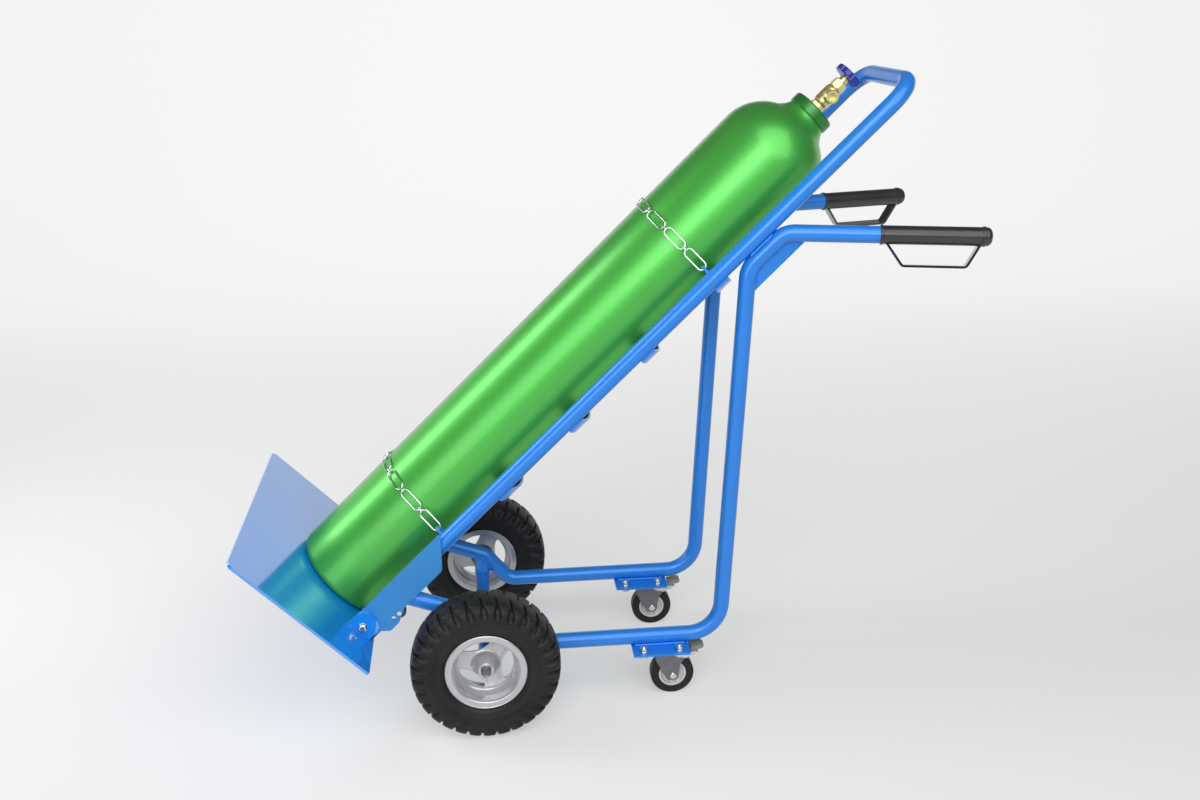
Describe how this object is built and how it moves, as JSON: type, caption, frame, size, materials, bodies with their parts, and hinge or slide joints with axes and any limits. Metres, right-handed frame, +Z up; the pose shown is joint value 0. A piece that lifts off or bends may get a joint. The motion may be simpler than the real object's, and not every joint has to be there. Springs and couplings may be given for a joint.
{
  "type": "gas cylinder trolley",
  "caption": "Blue tubular trolley that carries one gas cylinder lying back between two rails, with air-filled wheels, braked swivel casters, chains and guarded handles.",
  "frame": {"origin": "on the floor, at the middle of the length and width of the parked cart", "axes": "+X towards the handles, +Y to the right of someone pushing from the handles, +Z up"},
  "size_m": [1.2535, 0.5122, 1.1141],
  "materials": {
    "frame_paint": "gloss",
    "plate_paint": "gloss",
    "toe_plate_paint": "gloss",
    "cylinder_paint": "gloss",
    "valve_brass": "satin",
    "handwheel_plastic": "gloss",
    "tyre_rubber": "matte",
    "grip_rubber": "matte",
    "black_rubber": "matte",
    "caster_rubber": "matte",
    "guard_enamel": "gloss",
    "rim_silver": "satin",
    "zinc_steel": "satin",
    "polished_steel": "gloss",
    "bright_chain": "gloss",
    "core_plastic": "matte",
    "pad_plastic": "matte"
  },
  "bodies": {
    "cart_frame": {"main_hoop": "frame_paint", "side_frame_left": "frame_paint", "side_frame_right": "frame_paint", "axle_tube": "frame_paint", "axle_post_left": "frame_paint", "axle_post_right": "frame_paint", "corner_gusset_left": "frame_paint", "corner_gusset_right": "frame_paint", "caster_bracket_left": "frame_paint", "caster_bracket_right": "frame_paint", "chain_tabs": "frame_paint", "side_plate_left": "plate_paint", "side_plate_right": "plate_paint", "toe_plate": "toe_plate_paint", "grip_left": "grip_rubber", "grip_right": "grip_rubber", "hand_guard_left": "guard_enamel", "hand_guard_right": "guard_enamel", "lower_chain": "bright_chain", "upper_chain": "bright_chain", "roller_pins": "zinc_steel", "rubber_buffers": "black_rubber", "toe_plate_bolts": "polished_steel", "caster_bolts": "zinc_steel", "axle_end_fittings": "zinc_steel", "axle": "zinc_steel", "caster_plate_left": "zinc_steel", "caster_plate_right": "zinc_steel", "saddle_strap_1": "frame_paint", "saddle_strap_2": "frame_paint", "saddle_strap_3": "frame_paint", "saddle_strap_4": "frame_paint"},
    "gas_cylinder": {"cylinder": "cylinder_paint", "neck_ring": "cylinder_paint", "valve_body": "valve_brass", "valve_bonnet": "valve_brass"},
    "valve_wheel": {"valve_spindle": "polished_steel", "handwheel": "handwheel_plastic"},
    "wheel_left": {"tyre_left": "tyre_rubber", "inner_tube_left": "black_rubber", "rim_left": "rim_silver", "rim_back_left": "rim_silver", "hub_bearings_left": "polished_steel"},
    "caster_left": {"caster_fork_left": "zinc_steel", "caster_axle_left": "zinc_steel"},
    "caster_wheel_left": {"caster_tread_left": "caster_rubber", "caster_core_left": "core_plastic"},
    "brake_left": {"brake_pedal_left": "zinc_steel", "brake_pad_left": "pad_plastic"},
    "wheel_right": {"tyre_right": "tyre_rubber", "inner_tube_right": "black_rubber", "rim_right": "rim_silver", "rim_back_right": "rim_silver", "hub_bearings_right": "polished_steel"},
    "caster_right": {"caster_fork_right": "zinc_steel", "caster_axle_right": "zinc_steel"},
    "caster_wheel_right": {"caster_tread_right": "caster_rubber", "caster_core_right": "core_plastic"},
    "brake_right": {"brake_pedal_right": "zinc_steel", "brake_pad_right": "pad_plastic"}
  },
  "joints": [
    {"name": "wheel_spin_left", "type": "hinge", "parent": "cart_frame", "child": "wheel_left", "pos_m": [-0.21543, -0.214, 0.13], "axis": [0, 1, 0], "continuous": true},
    {"name": "caster_swivel_left", "type": "hinge", "parent": "cart_frame", "child": "caster_left", "pos_m": [0.10157, -0.1295, 0.08735], "axis": [0, 0, 1], "continuous": true},
    {"name": "caster_spin_left", "type": "hinge", "parent": "caster_left", "child": "caster_wheel_left", "pos_m": [0.12557, -0.1295, 0.04], "axis": [0, 1, 0], "continuous": true},
    {"name": "brake_press_left", "type": "hinge", "parent": "caster_left", "child": "brake_left", "pos_m": [0.14157, -0.1295, 0.081], "axis": [0, 1, 0], "range_deg": [0, 12]},
    {"name": "wheel_spin_right", "type": "hinge", "parent": "cart_frame", "child": "wheel_right", "pos_m": [-0.21543, 0.214, 0.13], "axis": [0, 1, 0], "continuous": true},
    {"name": "caster_swivel_right", "type": "hinge", "parent": "cart_frame", "child": "caster_right", "pos_m": [0.10157, 0.1295, 0.08735], "axis": [0, 0, 1], "continuous": true},
    {"name": "caster_spin_right", "type": "hinge", "parent": "caster_right", "child": "caster_wheel_right", "pos_m": [0.12557, 0.1295, 0.04], "axis": [0, 1, 0], "continuous": true},
    {"name": "brake_press_right", "type": "hinge", "parent": "caster_right", "child": "brake_right", "pos_m": [0.14157, 0.1295, 0.081], "axis": [0, 1, 0], "range_deg": [0, 12]},
    {"name": "cylinder_slide", "type": "slide", "parent": "cart_frame", "child": "gas_cylinder", "axis": [0.7157, 0, 0.6984], "range_m": [0, 0.115]},
    {"name": "valve_turn", "type": "hinge", "parent": "gas_cylinder", "child": "valve_wheel", "pos_m": [0.43253, 0, 1.09005], "axis": [0.7157, 0, 0.6984], "range_deg": [0, 1080]}
  ]
}
